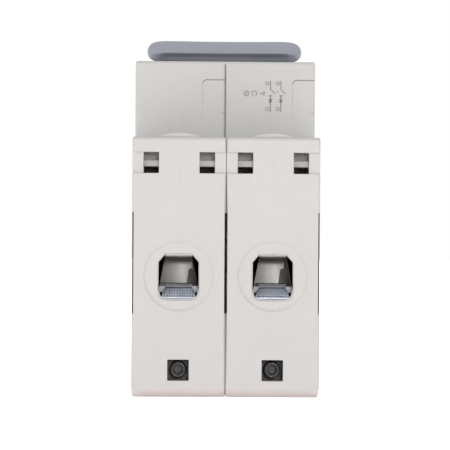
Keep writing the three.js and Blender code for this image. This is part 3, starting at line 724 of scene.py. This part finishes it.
def ribbed_pad(name, centre, end):
    """Bar with a wavy top, its ribs across the wire."""
    form = bmesh.new()
    steps = PAD["ribs"] * 4
    rows = []
    for k in range(steps + 1):
        y = PAD["near"] + (PAD["far"] - PAD["near"]) * k / steps
        top = PAD["high"] - PAD["wave"] * (1 - math.cos(2 * math.pi * PAD["ribs"] * k / steps))
        rows.append([form.verts.new(Vector((centre + sx * PAD["half"], end * y, z)) * MM)
                     for sx, z in ((-1, PAD["low"]), (1, PAD["low"]), (1, top), (-1, top))])
    bridge(form, rows)
    return settle(form, name, "hardened", 45)


for pole in POLES:
    for end_name, end in zip(ENDS, (-1, 1)):
        pad = ribbed_pad(f"{pole}_{end_name}_pad", pole_centre(pole), end)
        add_detail(pad, f"{pole}_{end_name}_cage_body")

# %% [markdown]
# ## Rivets and screw threads
# Six tubular rivets hold both poles together. Each is a tube whose ends are rolled over, so one turned form
# serves all six places: a shaft and two flattened rolls, placed by rule on six points.
# A clamp screw's head is pressed, with a cross slot; its thread is rolled. The head is a rounded copy, and
# the thread is a ridge swept along a spiral.

# %% A rule for rolled rivets
RIVET = {"Shaft": 1.35 * MM, "Length": 35.0 * MM, "Roll": 1.72 * MM, "Thick": 0.44 * MM, "Flat": 0.36,
         "Face": 17.53 * MM}


def rivet_rule():
    """Tubular rivets along x, one on each point of the mesh it is given."""
    tree, given, result = rule("rolled_rivet", Points=("NodeSocketGeometry", None), Shaft=(FLOAT, 0.0013),
                               Length=(FLOAT, 0.035), Roll=(FLOAT, 0.0017), Thick=(FLOAT, 0.0004),
                               Flat=(FLOAT, 0.4), Face=(FLOAT, 0.0175), Material=(MATERIAL, None))
    shaft = wired(tree, "GeometryNodeMeshCylinder", {"Vertices": 20}, Radius=given["Shaft"],
                  Depth=given["Length"])
    path = wired(tree, "GeometryNodeCurvePrimitiveCircle", {"Resolution": 24}, Radius=given["Roll"])
    outline = wired(tree, "GeometryNodeCurvePrimitiveCircle", {"Resolution": 8}, Radius=given["Thick"])
    roll = wired(tree, "GeometryNodeCurveToMesh", Curve=path.outputs["Curve"],
                 Profile_Curve=outline.outputs["Curve"])
    squeeze = wired(tree, "ShaderNodeCombineXYZ", {"X": 1.0, "Y": 1.0}, Z=given["Flat"])
    parts = tree.nodes.new("GeometryNodeJoinGeometry")
    for side in (1.0, -1.0):
        height = wired(tree, "ShaderNodeMath", {1: side})
        height.operation = "MULTIPLY"
        tree.links.new(given["Face"], height.inputs[0])
        lift = wired(tree, "ShaderNodeCombineXYZ", Z=height.outputs["Value"])
        end = wired(tree, "GeometryNodeTransform", Geometry=roll.outputs["Mesh"],
                    Scale=squeeze.outputs["Vector"], Translation=lift.outputs["Vector"])
        tree.links.new(end.outputs["Geometry"], parts.inputs["Geometry"])
    tree.links.new(shaft.outputs["Mesh"], parts.inputs["Geometry"])
    lay = wired(tree, "GeometryNodeTransform", {"Rotation": (0.0, math.pi / 2, 0.0)},
                Geometry=parts.outputs["Geometry"])
    place = wired(tree, "GeometryNodeInstanceOnPoints", Points=given["Points"],
                  Instance=lay.outputs["Geometry"])
    finished(tree, given, place.outputs["Instances"], result)
    return tree


def middle_of(node):
    """Middle of a part's box, in metres."""
    low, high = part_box(node)
    return (low + high) / 2


RIVET_NODES = [f"rivet_{number}" for number in range(1, 7)]
rivets = grow("rolled_rivets", rivet_rule(), points=[middle_of(node) for node in RIVET_NODES],
              **RIVET, Material=FINISHES["rivet"])
rivets.data.shade_smooth()
rivets.data.set_sharp_from_angle(angle=math.radians(40))
add_detail(rivets, "housing")
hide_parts(*RIVET_NODES)
print("six rivets,", len(rivets.data.polygons), "faces")

# %% A rule for threads, and the screws
THREAD = {"radius": 2.29, "ridge": 0.1, "pitch": 0.8, "low": 28.4, "high": 35.6}
SCREW_EDGE = 0.1


def thread_rule():
    """Ridge swept along a spiral about z, starting at z = 0."""
    tree, given, result = rule("rolled_thread", Radius=(FLOAT, 0.002), Ridge=(FLOAT, 0.0002),
                               Height=(FLOAT, 0.007), Turns=(FLOAT, 9.0), Material=(MATERIAL, None))
    path = wired(tree, "GeometryNodeCurveSpiral", {"Resolution": 20}, Start_Radius=given["Radius"],
                 End_Radius=given["Radius"], Height=given["Height"], Rotations=given["Turns"])
    outline = wired(tree, "GeometryNodeCurvePrimitiveCircle", {"Resolution": 4}, Radius=given["Ridge"])
    sweep = wired(tree, "GeometryNodeCurveToMesh", {"Fill Caps": True}, Curve=path.outputs["Curve"],
                  Profile_Curve=outline.outputs["Curve"])
    finished(tree, given, sweep.outputs["Mesh"], result)
    return tree


THREADS = thread_rule()
for pole in POLES:
    for end_name in ENDS:
        node = f"{pole}_{end_name}_screw"
        adopt(round_edges(copy_of(node, f"{node}_head"), SCREW_EDGE), node)
        rise = THREAD["high"] - THREAD["low"]
        thread = grow(f"{node}_thread", THREADS, Radius=THREAD["radius"] * MM, Ridge=THREAD["ridge"] * MM,
                      Height=rise * MM, Turns=rise / THREAD["pitch"], Material=FINISHES["zinc"])
        at = middle_of(node)
        thread.data.transform(Matrix.Translation((at.x, at.y, THREAD["low"] * MM)))
        add_detail(thread, f"{node}_body")
print("threads of", len(thread.data.polygons), "faces")

# %% [markdown]
# ## Rail latches
# A black spring-loaded latch holds the rail. A screwdriver pulls it out by the ring in the square hole. It is
# a rounded copy with a moulded bead round the ring's mouth, which catches a crescent of light.

# %% Round the latches and bead the ring
RING = {"height": 5.3, "face": 38.9, "radius": 1.3, "bead": 0.2}
LATCH_EDGE = 0.12


def bead(name, centre, radius, thick, around=40, across=10):
    """Torus about the y axis, in metres."""
    form = bmesh.new()
    loops = []
    for i in range(around):
        a = 2 * math.pi * i / around
        loops.append([form.verts.new(centre + Vector((
            (radius + thick * math.cos(b)) * math.cos(a), thick * math.sin(b),
            (radius + thick * math.cos(b)) * math.sin(a))))
            for b in (2 * math.pi * k / across for k in range(across))])
    bridge(form, loops, closed=True)
    return settle(form, name, "gloss_black", 180)


for pole in POLES:
    node = f"{pole}_rail_latch"
    adopt(round_edges(copy_of(node, f"{pole}_latch_body"), LATCH_EDGE), node)
    mouth = Vector((pole_centre(pole), -RING["face"], RING["height"])) * MM
    ring = bead(f"{pole}_latch_ring", mouth, RING["radius"] * MM, RING["bead"] * MM)
    add_detail(ring, f"{pole}_rail_latch_body")

# %% [markdown]
# ## Printed marks
# Pad printing lays a film of ink on the plastic. The marks here are the plain wiring symbol of a two-pole
# breaker, rings for its terminals, and a small picture of a screw. They are drawn as strokes of an even
# width: each stroke is a thin strip with a hair of thickness, set on the face. The joint round each cover's
# tongue is too fine to hold a shadow of its own, so a dark film is laid along it in the same way.

# %% Draw strokes on the nose
INK = 0.19                  # stroke width, mm
FILM = 0.012                # ink thickness, mm
FINE, THIN, DASH = 0.16, 0.15, 0.14


def on_nose(a, b, lift):
    """Point on the nose's face, or lifted off it, in mm."""
    return Vector((a, -NOSE - lift, b))


def stroke(form, points, width=INK, closed=False):
    """Even ribbon on the nose, through (across, up) points in mm."""
    points = [Vector(p) for p in points]
    count = len(points)
    sides = []
    for k, here in enumerate(points):
        back = points[k - 1] if closed or k else here
        ahead = points[(k + 1) % count] if closed or k < count - 1 else here
        along = (ahead - back).normalized()
        across = Vector((-along.y, along.x)) * width / 2
        sides.append([form.verts.new(on_nose(*(here + s * across), lift) * MM)
                      for s, lift in ((-1, 0), (1, 0), (1, FILM), (-1, FILM))])
    bridge(form, sides, closed)


def ring_points(a, b, r, count=20, start=0.0, sweep=2 * math.pi):
    """Points on a circle, or on an arc if the sweep is shorter."""
    closed = sweep >= 2 * math.pi
    steps = count if closed else count - 1
    return [(a + r * math.cos(start + sweep * k / steps), b + r * math.sin(start + sweep * k / steps))
            for k in range(count)]


def print_and_shadow_marks(name, draw):
    """Mesh of every stroke that draw() lays down."""
    form = bmesh.new()
    draw(form)
    made = settle(form, name, "ink")
    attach(made, "housing")
    return made


SYMBOL_TOP, SYMBOL_LOW = 61.7, 55.45
POLE_LINES = (8.96, 11.04)


def wiring_symbol(form):
    """Two breaker poles, joined by a dashed link, with a ring at each terminal."""
    for a in POLE_LINES:
        stroke(form, [(a, SYMBOL_TOP), (a, 60.0), (a + 0.9, 59.1)])
        stroke(form, [(a - 0.35, 58.7), (a + 0.4, 58.7)])
        stroke(form, [(a, 58.7), (a, SYMBOL_LOW)])
        for slant in (-1, 1):
            stroke(form, [(a - 0.33, 57.7 - 0.33 * slant), (a + 0.33, 57.7 + 0.33 * slant)])
        for b in (SYMBOL_TOP - 0.55, SYMBOL_LOW + 0.6):
            stroke(form, ring_points(a - 0.62, b, 0.32), THIN, True)
    stroke(form, [(10.15, 59.5), (10.6, 59.5)], DASH)


def screw_picture(form):
    """Slotted screw head, a turning arrow, and the blade that fits it."""
    stroke(form, ring_points(4.2, 59.15, 0.5), FINE, True)
    stroke(form, [(3.95, 58.85), (4.45, 59.45)], THIN)
    stroke(form, ring_points(5.75, 59.15, 0.48, 14, math.radians(-60), math.radians(250)), THIN)
    stroke(form, [(5.2, 58.55), (5.55, 58.72), (5.3, 59.05)], 0.13)
    stroke(form, [(7.5, 59.15), (6.75, 59.15)], THIN)
    stroke(form, [(7.5, 58.8), (7.5, 59.5), (7.75, 59.5), (7.75, 58.8)], DASH, True)


TONGUE_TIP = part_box("left_cover")[1].z / MM
# Widths and end of the dark film that paints the joint's shadow round each tongue; it is painted shadow, not
# a gap in the mesh.
SHADOW_TOP, SHADOW_CORNER, SHADOW_SIDE = 0.17, 0.1, 0.045            # the line thins out down the tongue's side
SHADOW_END = 57.0


def tongue_gap(form):
    """Dark film that stands for the shadow in the joint round the top of each cover's tongue."""
    for pole in POLES:
        edge, side = pole_centre(pole) + TONGUE_WIDTH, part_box(f"{pole}_cover")[1].x / MM
        middle = (edge + TONGUE_CORNER, TONGUE_TIP - TONGUE_CORNER)
        corner = ring_points(*middle, TONGUE_CORNER, 8, math.pi / 2, math.pi / 2)
        stroke(form, [(side - 0.02, TONGUE_TIP)] + corner[:5], SHADOW_TOP)
        stroke(form, corner[4:], SHADOW_CORNER)
        stroke(form, [(edge, TONGUE_TIP - TONGUE_CORNER), (edge, SHADOW_END)], SHADOW_SIDE)


def vent_tick(form):
    """Fine moulding tick at the edge of each tongue."""
    for edge in (-0.15, 17.7):
        stroke(form, [(edge - 0.6, 55.25), (edge, 55.25)], 0.1)


# Three of these are print; the film along the tongues is painted shadow.
for name, draw in (("wiring_symbol", wiring_symbol), ("screw_picture", screw_picture),
                   ("vent_tick", vent_tick), ("tongue_gap", tongue_gap)):
    print(name, len(print_and_shadow_marks(name, draw).data.polygons), "faces")
